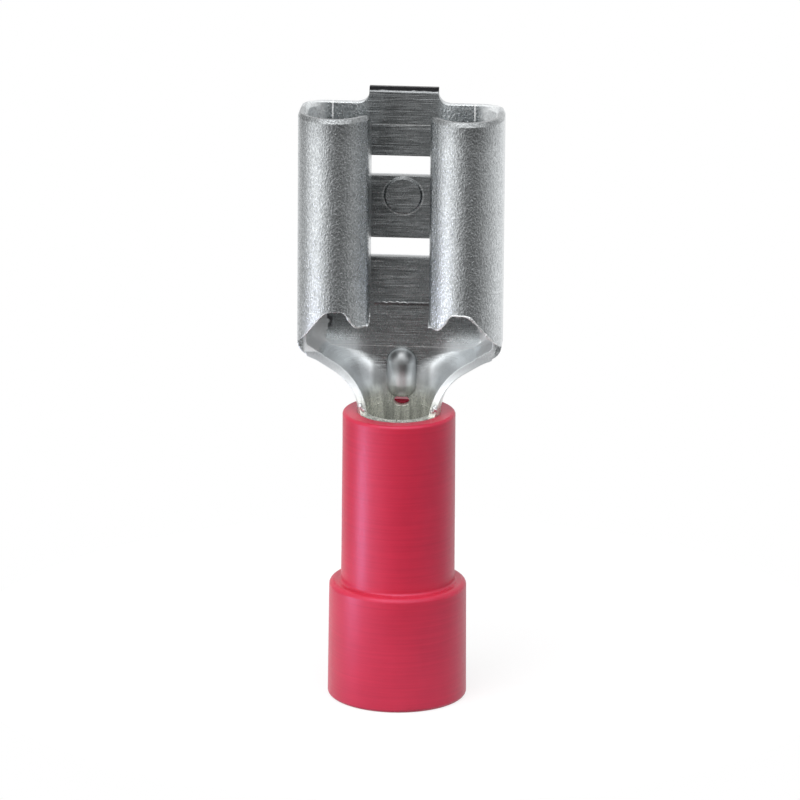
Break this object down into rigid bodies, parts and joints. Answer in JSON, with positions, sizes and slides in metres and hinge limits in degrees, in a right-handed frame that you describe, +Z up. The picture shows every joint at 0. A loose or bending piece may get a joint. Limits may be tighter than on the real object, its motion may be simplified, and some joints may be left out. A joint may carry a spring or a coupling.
{
  "type": "female spade terminal",
  "caption": "Insulated female spade terminal: folded tinned brass receptacle for a flat blade, narrow neck and crimp barrel in a red stepped sleeve.",
  "frame": {"origin": "centre of the sleeve's bell end face, at the wire entry", "axes": "+Z up the barrel axis to the receptacle's mouth, +X across the blade's width, -Y the open side of the receptacle"},
  "size_m": [0.008, 0.0054, 0.024],
  "materials": {
    "tinned_brass": "tin plated, satin, with bright cut edges",
    "red_plastic": "smooth moulded plastic, slightly translucent"
  },
  "bodies": {
    "root": {"contact": "tinned_brass", "sleeve": "red_plastic"}
  },
  "joints": []
}
